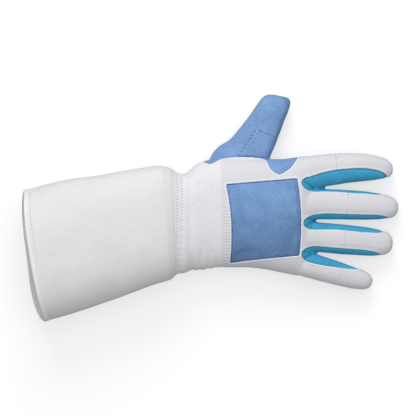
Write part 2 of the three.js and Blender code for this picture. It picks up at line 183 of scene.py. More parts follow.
def finger_half(finger, along):
    return finger["width"] * FINGER_WIDTH / 2 * (1 - finger["taper"] * np.clip(along, 0, 1))


def on_finger(finger, along, across=0.0):
    along = np.asarray(along, float)
    reach = finger["reach"] * FINGER_LENGTH
    bow = np.where(along > 0, 4 * finger["bow"] * reach * along * (1 - along), 0)
    x, y = turned(along * reach, bow + across * finger_half(finger, along), finger["heading"])
    return x + HAND_LENGTH, y + finger["side"] * HALF_PALM


def finger_spine(finger, inset):
    path = np.linspace(-0.22, 1, 240)
    full = curve(FINGER["along"], FINGER["full"])(path)
    along = path * (1 + (TIP_ROOM - inset) / (finger["reach"] * FINGER_LENGTH))
    x, y = on_finger(finger, along)
    taper = 1 - 0.8 * finger["taper"] * np.maximum(0, along)
    zero = 0 * path
    return {
        "path": path, "x": x, "y": y, "z": finger_height(x),
        "turn": zero + finger["heading"], "lean": zero, "bow": zero,
        "half": np.maximum(0.6, finger_half(finger, along) * full - inset),
        "rise": np.maximum(0.6, finger["depth"] * FINGER_DEPTH / 2 * full * taper - inset),
    }


def on_hand(along, across):
    return along * HAND_LENGTH, across * HALF_PALM


def on_thumb(along, across=0.0):
    x, y = turned(along * THUMB_LENGTH, across, THUMB_HEADING)
    root = on_hand(0.439, 0.731)
    return x + root[0], y + root[1]


thumb_curve = {key: curve(THUMB["along"], THUMB[key]) for key in ("width", "depth", "shift", "turn")}


def across_thumb(along, across):
    middle = thumb_curve["shift"](along) + across * thumb_curve["width"](along) / 2
    return on_thumb(along, middle * THUMB_WIDTH)


def thumb_spine(inset):
    path = np.linspace(-0.07, 0.99, 240)
    along = path * (1 + (2 * TIP_ROOM - inset) / THUMB_LENGTH)
    x, y = on_thumb(along, thumb_curve["shift"](path) * THUMB_WIDTH)
    zero = 0 * path
    return {
        "path": path, "x": x, "y": y, "z": THUMB_HEIGHT + THUMB_ROOT_RISE * (1 - np.maximum(0, along)),
        "turn": THUMB_HEADING + thumb_curve["turn"](path), "lean": zero, "bow": zero,
        "half": np.maximum(0.8, thumb_curve["width"](path) * THUMB_WIDTH / 2 - inset),
        "rise": np.maximum(0.8, thumb_curve["depth"](path) * THUMB_DEPTH / 2 - inset),
    }


trunk = trunk_spine()
print("trunk runs from", round(trunk["x"][0]), "to", round(trunk["x"][-1]), "mm")


# %% Places on a skin
def corner(v, squareness, ratio=1.6):
    angle = np.linspace(-np.pi / 2, 1.5 * np.pi, 1441)
    c, s = np.cos(angle), np.sin(angle)
    a = np.sign(c) * np.abs(c) ** (2 / squareness)
    b = np.sign(s) * np.abs(s) ** (2 / squareness)
    length = np.concatenate(([0], np.cumsum(np.hypot(np.diff(a) * ratio, np.diff(b)))))
    return np.interp(v, length / length[-1], a), np.interp(v, length / length[-1], b)


def rest_flat(z, floor, soft=1.6):
    over = z - floor
    return floor + np.where(over < soft, soft * np.exp((np.minimum(over, soft) - soft) / soft), over)


def skin(spine, squareness, path, v, out=0.0, floor=0.0):
    at = {key: np.interp(path, spine["path"], spine[key]) for key in spine}
    a, b = corner(v, squareness)
    across, rise = a * (at["half"] + out), b * (at["rise"] + out)
    back = at["lean"] * rise - at["bow"] * (rise / at["rise"]) ** 2
    x, y = turned(back, across, at["turn"])
    return np.stack((at["x"] + x, at["y"] + y, rest_flat(at["z"] + rise, floor)), 1)


def read(mesh, what="co"):
    source, key = (mesh.vertices, "co") if what == "co" else (mesh.vertex_normals, "vector")
    values = np.empty(len(source) * 3)
    source.foreach_get(key, values)
    return values.reshape(-1, 3)


def write(mesh, places):
    mesh.vertices.foreach_set("co", np.ascontiguousarray(places, float).ravel())
    mesh.update()


def grid_mesh(name, rows, columns, place_at, round_ways=0, capped=False):
    """A grid laid on a surface; its edges are welded round one way (1) or both (2)."""
    bm = bmesh.new()
    bmesh.ops.create_grid(bm, x_segments=rows, y_segments=columns, size=0.5)
    mesh = bpy.data.meshes.new(name)
    bm.to_mesh(mesh)
    bm.free()
    co = read(mesh)
    write(mesh, place_at(co[:, 0] + 0.5, co[:, 1] + 0.5))
    if not round_ways:
        return mesh
    bm = bmesh.new()
    bm.from_mesh(mesh)
    bmesh.ops.remove_doubles(bm, verts=bm.verts, dist=0.004)
    if capped:
        bmesh.ops.holes_fill(bm, edges=[edge for edge in bm.edges if edge.is_boundary], sides=0)
    bmesh.ops.recalc_face_normals(bm, faces=bm.faces)
    bm.to_mesh(mesh)
    bm.free()
    return mesh


def stand(mesh):
    piece = bpy.data.objects.new(mesh.name, mesh)
    bpy.context.scene.collection.objects.link(piece)
    return piece


def drop(*pieces):
    for piece in pieces:
        mesh = piece.data
        bpy.data.objects.remove(piece)
        bpy.data.meshes.remove(mesh)


def settle(piece):
    """Applies the modifiers of a piece."""
    graph = bpy.context.evaluated_depsgraph_get()
    mesh = bpy.data.meshes.new_from_object(piece.evaluated_get(graph))
    piece.modifiers.clear()
    old = piece.data
    mesh.name = old.name
    piece.data = mesh
    bpy.data.meshes.remove(old)
    return piece


def remesh(piece, voxel, rounds):
    cloth = piece.modifiers.new("cloth", "REMESH")
    cloth.mode, cloth.voxel_size, cloth.use_smooth_shade = "VOXEL", voxel, True
    soft = piece.modifiers.new("soft", "SMOOTH")
    soft.factor, soft.iterations = 0.5, rounds
    return settle(piece)


def cut(piece, tool, how="DIFFERENCE"):
    knife = piece.modifiers.new("knife", "BOOLEAN")
    knife.operation, knife.solver, knife.object = how, "MANIFOLD", tool
    return settle(piece)


def copy(piece, name):
    mesh = piece.data.copy()
    mesh.name = name
    return stand(mesh)


def edit(piece, change):
    """Runs a change on a piece's bmesh."""
    bm = bmesh.new()
    bm.from_mesh(piece.data)
    change(bm)
    bm.to_mesh(piece.data)
    bm.free()
    return piece


# %% [markdown]
# ## The form of the hand
# The hand, four fingers and the thumb are separate skins. They could be joined by booleans, which leave a
# hard line at each web. Melted together on a fine voxel grid instead, they become one skin with soft webs
# between the fingers, as stretched cloth has.


# %% Skins of the limbs
def limb(name, spine, squareness, out, floor, rows, sides, start=None):
    first, last = spine["path"][0] if start is None else start, spine["path"][-1]

    def place_at(u, v):
        path = first + (last - first) * u
        return skin(spine, squareness, path, v, out, floor)

    return stand(grid_mesh(name, rows, sides, place_at, round_ways=1, capped=True))


def hand_form(name, inset, voxel, rounds):
    fine = 1 if voxel < 1.1 else 2
    limbs = [limb(name, trunk, 2.7, -inset, inset, 110 // fine, 160 // fine, start=-14.0)]
    for finger in FINGERS.values():
        limbs.append(limb("finger", finger_spine(finger, inset), 2.3, 0, inset, 110 // fine, 72 // fine))
    limbs.append(limb("thumb", thumb_spine(inset), 2.3, 0, inset, 110 // fine, 84 // fine))
    edit(limbs[0], lambda bm: [bm.from_mesh(piece.data) for piece in limbs[1:]])
    drop(*limbs[1:])
    return remesh(limbs[0], voxel, rounds)


FORM_VOXEL, FORM_ROUNDS = 0.85, 6
form = hand_form("form", 0.0, FORM_VOXEL, FORM_ROUNDS)
print("form:", len(form.data.vertices), "vertices")

# %% [markdown]
# ## Seams
# The panels meet along seams. Each seam is drawn in plan, as on the maker's pattern, smoothed, and dropped
# on the form from above. The distance to the nearest seam then shapes the cloth: it sinks towards a seam
# and fills out between seams, the way a sewn panel does.


# %% Seam lines in plan
def smooth_line(points, per=10, closed=False):
    """A curve through points that keeps its turns inside them."""
    p = np.asarray(points, float)
    if closed:
        p = np.vstack((p[-1], p, p[0], p[1]))
    else:
        p = np.vstack((2 * p[0] - p[1], p, 2 * p[-1] - p[-2]))
    made = []
    for a, b, c, d in zip(p[:-3], p[1:-2], p[2:-1], p[3:]):
        k = np.cumsum([0] + [max(1e-6, np.linalg.norm(e)) ** 0.5 for e in (b - a, c - b, d - c)])
        for t in k[1] + (k[2] - k[1]) * np.arange(per)[:, None] / per:
            ab, bc, cd = (
                ((k[i + 1] - t) * q + (t - k[i]) * r) / (k[i + 1] - k[i])
                for i, (q, r) in enumerate(((a, b), (b, c), (c, d)))
            )
            abc, bcd = ((k[i + 2] - t) * q + (t - k[i]) * r for i, (q, r) in enumerate(((ab, bc), (bc, cd))))
            abc, bcd = abc / (k[2] - k[0]), bcd / (k[3] - k[1])
            made.append(((k[2] - t) * abc + (t - k[1]) * bcd) / (k[2] - k[1]))
    made = np.array(made).reshape(-1, p.shape[1])
    return made if closed else np.vstack((made, p[-2]))


def spaced(line, step):
    """The same line with its points at even steps."""
    line = np.asarray(line, float)
    length = np.concatenate(([0], np.cumsum(np.linalg.norm(np.diff(line, axis=0), axis=1))))
    count = max(2, int(round(length[-1] / step)) + 1)
    at = np.linspace(0, length[-1], count)
    return np.stack([np.interp(at, length, line[:, i]) for i in range(line.shape[1])], 1)


def hand_line(points):
    return np.stack(on_hand(*np.array(points, float).T), 1)


def finger_line(name, along, across):
    return np.stack(on_finger(FINGERS[name], np.asarray(along, float), np.asarray(across, float)), 1)


EDGES = table("along index_ulnar middle_radial middle_ulnar ring_radial ring_ulnar little_radial", [
    (-0.04, 0.23, 0.94, 0.95, 0.54, 0.87, 0.2),
    (0, 0.2, 0.85, 0.78, 0.47, 0.71, 0.19),
    (0.07, 0.16, 0.79, 0.65, 0.475, 0.6, 0.2),
    (0.15, 0.115, 0.81, 0.6, 0.52, 0.57, 0.225),
    (0.3, 0.05, 0.82, 0.6, 0.6, 0.58, 0.33),
    (0.5, 0.04, 0.79, 0.63, 0.62, 0.58, 0.52),
    (0.65, 0.04, 0.81, 0.62, 0.61, 0.57, 0.7),
    (0.76, 0.11, 0.8, 0.61, 0.65, 0.6, 0.9),
    (0.86, 0.25, 0.9, 0.66, 0.72, 0.7, 1.15),
    (0.93, 0.5, 1.15, 0.78, 0.95, 0.9, 1.3),
    (1, 1.1, 1.4, 1.2, 1.3, 1.3, 1.4),
])
WEBS = {
    "index_middle": ("index", "middle", (0.944, 0.566), (0.947, 0.502)),
    "middle_ring": ("middle", "ring", (0.96, -0.174), (0.963, -0.241)),
    "ring_little": ("ring", "little", (0.944, -0.74), (0.954, -0.831)),
}
THUMB_SEAM = [
    (0.163, 0.94), (0.178, 0.908), (0.2156, 0.881), (0.25, 0.91), (0.285, 0.958),
    (0.33, 0.988), (0.444, 1.01), (0.567, 1.003), (0.64, 0.98), (0.675, 0.94),
]
GUSSET_SEAM = [
    (0.671, 0.932), (0.695, 0.804), (0.734, 0.722), (0.774, 0.694),
    (0.814, 0.74), (0.854, 0.804), (0.886, 0.895), (0.918, 1.01),
]
PATCH = [(0.343, 0.512), (0.91, 0.621), (0.926, -0.786), (0.375, -0.923)]
PATCH_BOWS = [0, 0.036, -0.006, -0.042]


def patch_side(i, share):
    start, end = (hand_line([PATCH[k % 4]])[0] for k in (i, i + 1))
    side = end - start
    share = np.asarray(share, float)[:, None]
    return start + side * share + np.array((-side[1], side[0])) * 4 * PATCH_BOWS[i] * share * (1 - share)


def web_line(web):
    near, following, start, turn = web
    inner = finger_line(near, EDGES["along"], -EDGES[near + "_ulnar"])[::-1]
    outer = finger_line(following, EDGES["along"], EDGES[following + "_radial"])
    return smooth_line(np.vstack((inner, hand_line([start, turn]), outer)), 8)


thumb_seam = smooth_line(hand_line(THUMB_SEAM))
gusset_seam = smooth_line(hand_line(GUSSET_SEAM))
patch_seam = np.vstack([patch_side(i, np.linspace(0, 1, 24)[:-1]) for i in range(4)])
web_seams = {name: web_line(web) for name, web in WEBS.items()}
across_finger = np.linspace(-1.15, 1.15, 9)
knuckle_seams = {
    name: finger_line(name, [finger["knuckle"]] * 9, across_finger) for name, finger in FINGERS.items()
}
print("seams:", 3 + len(web_seams) + len(knuckle_seams))


# %% Cutters
def grown(line, by):
    """A closed line moved outwards."""
    ahead, behind = np.roll(line, -1, 0) - line, line - np.roll(line, 1, 0)
    lean = lambda e: np.stack((e[:, 1], -e[:, 0]), 1) / np.maximum(1e-9, np.linalg.norm(e, axis=1))[:, None]
    normal = lean(ahead) + lean(behind)
    normal /= np.maximum(1e-9, np.linalg.norm(normal, axis=1))[:, None]
    x, y = line.T
    winding = np.sign(np.sum(x * np.roll(y, -1) - np.roll(x, -1) * y))
    return line + normal * by * winding


def prism(line, low=-FAR, high=FAR, name="cutter"):
    bm = bmesh.new()
    corners = [bm.verts.new((x, y, low)) for x, y in line]
    face = bm.faces.new(corners)
    made = bmesh.ops.extrude_face_region(bm, geom=[face])["geom"]
    raised = [v for v in made if isinstance(v, bmesh.types.BMVert)]
    bmesh.ops.translate(bm, verts=raised, vec=(0, 0, high - low))
    bmesh.ops.recalc_face_normals(bm, faces=bm.faces)
    bmesh.ops.triangulate(bm, faces=bm.faces)
    mesh = bpy.data.meshes.new(name)
    bm.to_mesh(mesh)
    bm.free()
    return stand(mesh)


def cut_along(piece, line):
    """Cuts away what lies inside a plan line."""
    knife = prism(line)
    cut(piece, knife)
    drop(knife)


def split_height(x):
    share = np.clip((x - 0.8 * HAND_LENGTH) / (0.2 * HAND_LENGTH), 0, 1)
    low = 0.27 * HAND_DEPTH
    return low + (finger_height(x) - 0.14 * FINGER_DEPTH - low) * share * share * (3 - 2 * share)


def from_side(profile):
    """A cutter drawn from the side, as places along and up, that runs right across the hand."""
    cutter = prism(profile)
    co = read(cutter.data)
    write(cutter.data, np.stack((co[:, 0], -co[:, 2], co[:, 1]), 1))
    return cutter


def above_split(rise):
    """Everything over the line where the palm meets the back, at the side of the hand."""
    x = np.linspace(-60, 2 * HAND_LENGTH, 90)
    return from_side(np.vstack((np.stack((x, split_height(x) + rise), 1), [(x[-1], FAR), (x[0], FAR)])))


def slab(start, end):
    return prism([(start, -FAR), (end, -FAR), (end, FAR), (start, FAR)])


def near(points):
    tree = kdtree.KDTree(len(points))
    for i, point in enumerate(points):
        tree.insert(point, i)
    tree.balance()
    return lambda places: np.array([tree.find(place)[2] for place in places])


def from_above(piece, x, y):
    """The place and normal where a line from above meets a piece, or nothing."""
    hit, place, normal, _ = piece.ray_cast((x, y, ABOVE), (0, 0, -1))
    return (place, normal) if hit else None


def dropped(piece, line, step=0.7):
    """A plan line laid on a piece from above."""
    found = [from_above(piece, x, y) for x, y in spaced(line, step)]
    return np.array([place for place, _ in filter(None, found)])


bpy.context.view_layer.update()
white_seams = [thumb_seam, gusset_seam, np.vstack((patch_seam, patch_seam[:1])), *web_seams.values()]
seam_points = np.vstack([dropped(form, line) for line in white_seams])
knuckle_points = np.vstack([dropped(form, line) for line in knuckle_seams.values()])
to_seam, to_knuckle = near(seam_points), near(knuckle_points)
print("seam points:", len(seam_points), "knuckle points:", len(knuckle_points))

# %% [markdown]
# ## Shells for the panels
# A panel has an outer and an inner face. It could be a sheet with a Solidify modifier, but then its edges
# would not dive. Here both faces are the form, moved along its normals: the white cloth lies on top, and
# its turned edges stand a little proud; suede and stretch cloth dive under it at each seam. Slow waves and
# a few fold lines keep the cloth from looking moulded.


# %% Relief of the cloth
def waves(places, size, seed):
    at = places / size + seed
    return np.array([noise.noise(Vector(p)) for p in at])


def bell(distance, middle, width):
    return np.exp(-(((distance - middle) / width) ** 2))


def ramp(distance, start, end):
    t = np.clip((distance - start) / (end - start), 0, 1)
    return t * t * (3 - 2 * t)


def plan_distance(places, line):
    """Distance in plan from places to a line of points."""
    tree = near([(x, y, 0) for x, y in spaced(line, 0.5)])
    return tree([(x, y, 0) for x, y, _ in places])


# Fold lines, in plan: depth and width in millimetres, then the points
FOLDS = [
    (0.9, 1.0, [(115.4, 29.4), (118.6, 26.8), (121.6, 24.2), (124, 23.2)]),
    (0.9, 0.9, [(119.6, -6.0), (122.0, -7.4), (124, -8.4)]),
    (0.8, 0.9, [(117.4, -13.2), (119.3, -10.6), (122.6, -10.4)]),
    (1.0, 0.9, [(114.6, -37.2), (118.8, -38), (122.2, -39.4)]),
    (0.9, 0.9, [(115.6, -43.2), (118.6, -41.6), (122.2, -40.4)]),
    (0.5, 1.3, [(41, 66), (46, 69), (50, 73)]),
    (0.4, 1.2, [(42, 60), (48, 64), (53, 66)]),
    (0.4, 1.4, [(33, 54), (40, 56), (48, 56)]),
]
knit_fold_line = np.vstack([spaced(line, 0.5) for _, _, line in FOLDS[:5]])
base, normals = read(form.data), read(form.data, "normal")
top_side = normals[:, 2] > -0.1
slow = 0.32 * waves(base, 24.0, 3.1) + 0.14 * waves(base, 9.0, 8.7)
folds = np.zeros(len(base))
for depth, width, line in FOLDS:
    close = top_side & (np.abs(base[:, 0] - np.mean([p[0] for p in line])) < 25)
    folds[close] -= depth * bell(plan_distance(base[close], line), 0, width)
seam_gap, knuckle_gap = to_seam(base), to_knuckle(base)
print("slow waves up to", round(float(np.abs(slow).max()), 2), "mm")


# %% Outer faces
def shell(name, outer, inner):
    """A wall between two faces, both moved along the form's normals."""
    wall, lining = copy(form, name), copy(form, "inside")
    for piece, out in ((wall, outer), (lining, inner)):
        places = base + normals * out[:, None]
        places[:, 2] = np.maximum(places[:, 2], np.maximum(0.0, -out))
        write(piece.data, places)
    lining.data.flip_normals()
    edit(wall, lambda bm: bm.from_mesh(lining.data))
    drop(lining)
    return wall


# How proud the white cloth lies, how far the others dive at a seam, and how deep the inner faces are
PROUD, DIVE, KNIT_SINK = 0.3, 0.7, 0.3
WHITE_INSIDE, SUEDE_INSIDE, KNIT_INSIDE = 0.95, 1.55, 2.1
white_face = PROUD + slow + 0.3 * bell(seam_gap, 0.8, 0.7) - 0.2 * bell(seam_gap, 2.6, 0.8)
white_face += 0.12 * bell(knuckle_gap, 1.4, 0.8) - PROUD * bell(base[:, 0] - HAND_START, 0, 3.5)
suede_face = slow + folds - DIVE + DIVE * ramp(seam_gap, 0.5, 2.6)
knit_face = slow + folds - DIVE - KNIT_SINK + DIVE * ramp(seam_gap, 0.7, 3.0)
white_shell = shell("white", white_face, slow - WHITE_INSIDE)
suede_shell = shell("suede", suede_face, slow - SUEDE_INSIDE)
knit_shell = shell("knit", knit_face, slow + folds - KNIT_INSIDE)
print("shells:", len(white_shell.data.vertices), "vertices each")

# %% [markdown]
# ## Cutting the panels
# Each panel is what its shell and its pattern have in common. Bevelling such cut edges would fail where
# they are ragged, so the panel is remeshed finely and smoothed a little, which rounds them as folded cloth
# is.


# %% Cutters for the thumb and the seams
far_side = on_hand(1.1, 1.2)
thumb_outline = np.vstack((thumb_seam, [
    on_hand(0.705, 1.02), far_side, (far_side[0], FAR), (0.15 * HAND_LENGTH, FAR), on_hand(0.15, 1.02),
]))
gusset_outline = np.vstack((gusset_seam, [on_hand(0.925, 1.2), on_hand(0.66, 1.2)]))


def web_outline(name):
    """A side wall's pattern: its seam, closed past the fingertips."""
    line = web_seams[name]
    return np.vstack((line, [(HAND_LENGTH + 1.3 * FINGER_LENGTH, (line[0, 1] + line[-1, 1]) / 2)]))


def tip_outline(finger):
    corners = [(finger["knuckle"], 1.15), (finger["knuckle"], -1.15), (1.1, -1.4), (1.1, 1.4)]
    return np.array([on_finger(finger, *corner) for corner in corners])


# The seam down the thumb's root, as places along and up
ROOT_SEAM = [(16.0, 70), (16.6, 46), (19.0, 33), (23.5, 19), (29.5, 7), (33.0, -6)]


def thumb_zone(margin):
    """All of the thumb, up to the seam in plan and the seam that runs down its root."""
    zone = prism(grown(thumb_outline, margin))
    root = smooth_line(ROOT_SEAM) - (margin, 0)
    behind = [(root[-1, 0], -FAR), (-FAR, -FAR), (-FAR, FAR)]
    knife = from_side(np.vstack(([(root[0, 0], FAR)], root, behind)))
    cut(zone, knife)
    drop(knife)
    return zone


def panel(shell_piece, name, *steps):
    piece = copy(shell_piece, name)
    for how, tool in steps:
        cut(piece, tool, how)
    return piece


KEEP, AWAY = "INTERSECT", "DIFFERENCE"
HALF_SPLIT, TUCK, TIP_TUCK = 0.12, 1.0, 0.6
hand_room = slab(HAND_START, FAR)
over, under = above_split(HALF_SPLIT), above_split(-HALF_SPLIT)
thumb_hole = thumb_zone(0.0)
patch_hole = prism(patch_seam)
tip_rooms = {name: prism(tip_outline(finger)) for name, finger in FINGERS.items()}
tip_holes = {name: prism(grown(tip_outline(finger), -TIP_TUCK)) for name, finger in FINGERS.items()}

white = panel(white_shell, "white", (KEEP, hand_room), (KEEP, over), (AWAY, thumb_hole))
for outline in [web_outline(name) for name in WEBS] + [gusset_outline]:
    cut_along(white, outline)
print("white cloth:", len(white.data.polygons), "faces")


# %% Panels
def clear_crumbs(bm):
    """Keeps the largest body, without crumbs in the seams."""
    left, bodies = set(bm.verts), []
    while left:
        ahead, body = [left.pop()], []
        while ahead:
            v = ahead.pop()
            body.append(v)
            for edge in v.link_edges:
                other = edge.other_vert(v)
                if other in left:
                    left.remove(other)
                    ahead.append(other)
        bodies.append(body)
    bodies.sort(key=len)
    crumbs = [v for body in bodies[:-1] for v in body]
    bmesh.ops.delete(bm, geom=crumbs, context="VERTS")


def soften(piece, voxel=0.66, rounds=3):
    remesh(edit(piece, clear_crumbs), voxel, rounds)
    print(piece.name, len(piece.data.polygons) * 2, "triangles")
    return piece


pieces = {}


def keep(piece, name):
    piece.name = name
    pieces[name] = piece
    return piece


back = panel(white, "back cloth", (AWAY, patch_hole), *[(AWAY, hole) for hole in tip_holes.values()])
keep(soften(back), "back_cloth")
for name, room in tip_rooms.items():
    keep(soften(panel(white, name, (KEEP, room))), name + "_finger_back")
tucked = [(knit_shell, web_outline(name), name + "_side_wall") for name in WEBS]
for cloth, outline, name in tucked + [(suede_shell, gusset_outline, "thumb_web")]:
    room = prism(grown(outline, TUCK))
    keep(soften(panel(cloth, name, (KEEP, room), (KEEP, over)), 0.6), name)
    drop(room)
palm = panel(suede_shell, "palm", (KEEP, hand_room), (AWAY, under), (AWAY, thumb_hole))
keep(soften(palm, 1.15, 2), "palm_suede")

# %% [markdown]
# ## The thumb
# Two suede halves meet along a seam that runs up the thumb's edge, and a doubled piece on the root takes
# the wear. The halves are cut like the other panels. The doubled piece could be raised on the half below
# it, but its edge has to cast a shadow, so it is a thin shell of its own, rounded by the same fine remesh.


# %% Thumb halves
SEAM_INSET = 2.9
side_rows = list(zip(*(THUMB[key] for key in ("along", "width", "shift", "turn"))))[2:]
side_seam = []
for along, width, shift, turn in side_rows:
    dx, dy = turned(0, SEAM_INSET - width * THUMB_WIDTH / 2, THUMB_HEADING + turn)
    x, y = on_thumb(along, shift * THUMB_WIDTH)
    side_seam.append((x + dx, y + dy))
side_seam = smooth_line(side_seam, 5)
around_back = [(1.2, 0), (1.2, 1.5), (-0.6, 1.5), (-0.6, -0.6)]
around_back = [on_thumb(along, across * THUMB_WIDTH) for along, across in around_back]
back_outline = np.vstack((side_seam, around_back))
to_side_seam = near(dropped(form, side_seam))
thumb_gap = to_side_seam(base)
thumb_face = suede_face - 0.15 * bell(thumb_gap, 0, 0.8) + 0.1 * bell(thumb_gap, 1.8, 0.9)
thumb_shell = shell("thumb", thumb_face, slow - SUEDE_INSIDE)
thumb_room = thumb_zone(TUCK)
thumb_whole = panel(thumb_shell, "thumb", (KEEP, thumb_room))
back_half, back_hole = prism(back_outline, 12.5), prism(grown(back_outline, -TIP_TUCK), 12.9)
keep(soften(panel(thumb_whole, "thumb back", (KEEP, back_half))), "thumb_back_suede")
keep(soften(panel(thumb_whole, "thumb palm", (AWAY, back_hole)), 0.8), "thumb_palm_suede")
drop(thumb_whole, thumb_shell, back_half, back_hole)

# %% Doubled piece on the thumb
THUMB_PATCH = [
    (0.1, 0.1), (0.21, 0.23), (0.572, 0.37), (0.575, -0.79), (0.44, -0.81), (0.3, -0.83), (0.15, -0.83),
]
doubled_line = np.array([across_thumb(*corner) for corner in THUMB_PATCH])
rim = near(dropped(form, np.vstack((doubled_line, doubled_line[:1]))))
lift = 0.75 - 0.3 * bell(rim(base), 2.2, 0.9)
doubled = shell("doubled", suede_face + lift, suede_face + 0.12)
inner_seam = thumb_outline + np.array((0.0, 0.8))
knives = [prism(spaced(np.vstack((doubled_line, doubled_line[:1])), 2.0)[:-1], 10.0), prism(inner_seam)]
thumb_patch = panel(doubled, "thumb patch", (KEEP, thumb_room), *[(KEEP, knife) for knife in knives])
keep(soften(thumb_patch, 0.5), "thumb_patch_suede")
drop(doubled, thumb_room, *knives)

# %% [markdown]
# ## Cuff, band and sleeve
# These are tubes of stiff cloth. They could be cut from the form too, but a grid wrapped round the trunk's
# sections keeps the stiff, even curve of the cuff. The wall comes from the Solidify modifier. The turned
# rim and the wrist band are closed rings with a rounded profile, swept round the same sections.


# %% Round the trunk
# The mouth reaches further at its lower corner, this far round the section and by this much
LOW_CORNER, CORNER_REACH = 0.86, 3.0


def round_trunk(path, v, out):
    """A place round the trunk, also a little beyond its mouth."""
    path = np.asarray(path, float)
    beyond = np.minimum(0, path + CUFF_LENGTH)
    places = skin(trunk, 2.7, np.maximum(path, -CUFF_LENGTH), v, out, floor=0.0)
    places[:, 2] = np.maximum(places[:, 2], np.maximum(0.0, -np.asarray(out)))
    low_corner = (np.asarray(v) - LOW_CORNER + 0.5) % 1 - 0.5
    beyond = beyond - CORNER_REACH * bell(low_corner, 0, 0.1) * ramp(-path, CUFF_LENGTH - 30, CUFF_LENGTH)
    x, y = turned(beyond, 0 * beyond, MOUTH_HEADING)
    return places + np.stack((x, y, 0 * x), 1)


def ring(name, profile, sides, relief=lambda path, v: 0.0):
    """A ring whose profile is a closed line of (path, out)."""
    profile = np.asarray(profile, float)
    profile = np.vstack((profile, profile[:1]))

    def place_at(u, v):
        at = v * (len(profile) - 1)
        path = np.interp(at, range(len(profile)), profile[:, 0])
        out = np.interp(at, range(len(profile)), profile[:, 1])
        return round_trunk(path, u, out + relief(path, u) * (out > -0.5))

    return stand(grid_mesh(name, sides, len(profile) - 1, place_at, round_ways=2))


def rounded_profile(start, end, low, high, radius, per=5):
    """A rectangle with round corners."""
    made = []
    for cx, cy, turn in ((end, high, 0), (start, high, 90), (start, low, 180), (end, low, 270)):
        x = cx - radius if turn in (0, 270) else cx + radius
        y = cy - radius if turn in (0, 90) else cy + radius
        for angle in np.radians(turn + np.linspace(0, 90, per)):
            made.append((x + radius * math.cos(angle), y + radius * math.sin(angle)))
    return spaced(np.array(made + made[:1]), 0.5)[:-1]


def tube_wall(name, start, end, rows, sides, relief, thick=1.4, face=0.0):
    def place_at(u, v):
        path = start + (end - start) * u
        return round_trunk(path, v, face + relief(path, v))

    piece = stand(grid_mesh(name, rows, sides, place_at, round_ways=1))
    wall = piece.modifiers.new("wall", "SOLIDIFY")
    wall.thickness, wall.offset, wall.use_even_offset = thick, -1, True
    return settle(piece)


def cuff_relief(path, v):
    places = round_trunk(path, v, 0.0)
    broad = 0.7 * waves(places, 46.0, 1.7) + 0.3 * waves(places, 15.0, 5.2)
    quiet = ramp(path, -CUFF_LENGTH, -CUFF_LENGTH + 12) * (1 - ramp(path, -16, -8))
    pinch = -0.35 * bell(path, -13.5, 2.4) + 0.2 * bell(path, -9.2, 1.8)
    return broad * quiet + pinch


CUFF_START, CUFF_END = -CUFF_LENGTH + 3.6, BAND_START + 1.2
keep(tube_wall("cuff cloth", CUFF_START, CUFF_END, 110, 196, cuff_relief), "cuff_cloth")
rim_profile = rounded_profile(-CUFF_LENGTH - 0.2, -CUFF_LENGTH + 4.2, -2.5, 0.85, 1.3)
keep(ring("rim", rim_profile, 260), "rim_binding_turned")
print("cuff:", len(pieces["cuff_cloth"].data.polygons), "faces")


# %% Wrist band
def band_relief(path, v):
    rows = -0.25 * sum(bell(path, row, 0.7) for row in BAND_ROWS)
    wander = 1.7 * np.sin(2 * np.pi * 5 * v)
    gathers = 0.1 * np.sin(2 * np.pi * 38 * v + wander) * bell(path, BAND_START + 5.0, 4.0)
    return rows + gathers


BAND_ROWS, BAND_HIGH = [BAND_START + 2.2, BAND_START + 6.2], 0.45
band_profile = rounded_profile(BAND_START - 0.4, BAND_END + 0.6, -1.5, BAND_HIGH, 0.45)
keep(ring("band", band_profile, 300, band_relief), "wrist_band_stitched")
print("wrist band:", len(pieces["wrist_band_stitched"].data.polygons), "faces")

# %% [markdown]
# ## Cloth that settles by itself
# The sleeve is gathered between the band and the hand, and the patch is slack over its padding. Hand-made
# bumps never look like that, so Blender's Cloth does it: the edges are pinned where they are sewn, the
# cloth is cut a few percent larger, a light pressure fills it, and no point may move further than a cap.


# %% Cloth simulation
def sewn_cloth(piece, pinned, growth, pressure, bending, cap, frames=20):
    """Lets a sheet settle between its pinned edges and writes the result to its mesh."""
    rest = read(piece.data)
    write(piece.data, rest * 0.001)
    group = piece.vertex_groups.new(name="sewn")
    group.add([int(i) for i in np.flatnonzero(pinned)], 1.0, "REPLACE")
    cloth = piece.modifiers.new("Cloth", "CLOTH")
    how = cloth.settings
    how.quality, how.mass, how.vertex_group_mass = 8, 0.15, "sewn"
    how.tension_stiffness = how.compression_stiffness = 12
    how.shear_stiffness, how.bending_stiffness = 6, bending
    how.shrink_min, how.use_pressure, how.uniform_pressure_force = -growth, True, pressure
    how.effector_weights.gravity = 0
    cloth.collision_settings.use_collision = False
    cloth.point_cache.frame_end = frames
    for moment in range(1, frames + 1):
        bpy.context.scene.frame_set(moment)
    settled = piece.evaluated_get(bpy.context.evaluated_depsgraph_get())
    moved = read(settled.to_mesh()) * 1000 - rest
    settled.to_mesh_clear()
    piece.modifiers.clear()
    piece.vertex_groups.clear()
    bpy.context.scene.frame_set(1)
    far = np.linalg.norm(moved, axis=1)
    limit = cap * np.tanh(far / cap) / np.maximum(far, 1e-9)
    write(piece.data, rest + moved * limit[:, None])
    print(piece.name, "settled, moved up to", round(float((far * limit).max()), 2), "mm")
    return piece


def finish_wall(piece, thick):
    wall = piece.modifiers.new("wall", "SOLIDIFY")
    wall.thickness, wall.offset, wall.use_even_offset = thick, -1, False
    smooth = piece.modifiers.new("smooth", "SUBSURF")
    smooth.levels = smooth.render_levels = 1
    return settle(piece)


# %% Sleeve
HIDDEN_START, HIDDEN_END = SLEEVE_START - 1.2, SLEEVE_END + 2.0
